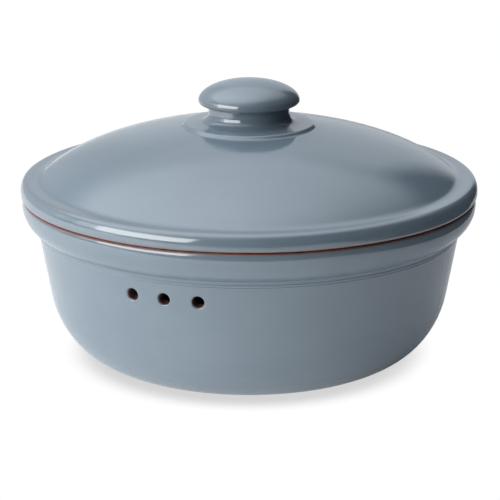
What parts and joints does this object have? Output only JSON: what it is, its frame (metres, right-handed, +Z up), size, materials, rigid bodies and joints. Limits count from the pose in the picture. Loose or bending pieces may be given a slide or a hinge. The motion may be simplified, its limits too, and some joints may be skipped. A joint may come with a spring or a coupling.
{
  "type": "clay bread baker",
  "caption": "Round lidded clay pot for baking bread, with a thick collar, small vents through its wall and a domed lid with a knob; glazed outside and bare clay inside.",
  "frame": {"origin": "middle of the underside, at the level of the surface that the pot stands on", "axes": "+Z up, along the axis of the pot; the row of vents faces -Y; +X to the right of the vents"},
  "size_m": [0.28, 0.28, 0.1707],
  "materials": {
    "blue_grey_glaze": "satin blue-grey glaze outside, bare orange-brown clay on the inside, the seat of the lid and the foot ring"
  },
  "bodies": {
    "bowl": {"bowl": "blue_grey_glaze"},
    "lid": {"lid_shell": "blue_grey_glaze", "lid_knob": "blue_grey_glaze"}
  },
  "joints": [
    {"name": "lid_lift", "type": "slide", "parent": "bowl", "child": "lid", "axis": [0, 0, 1], "range_m": [0, 0.15]}
  ]
}
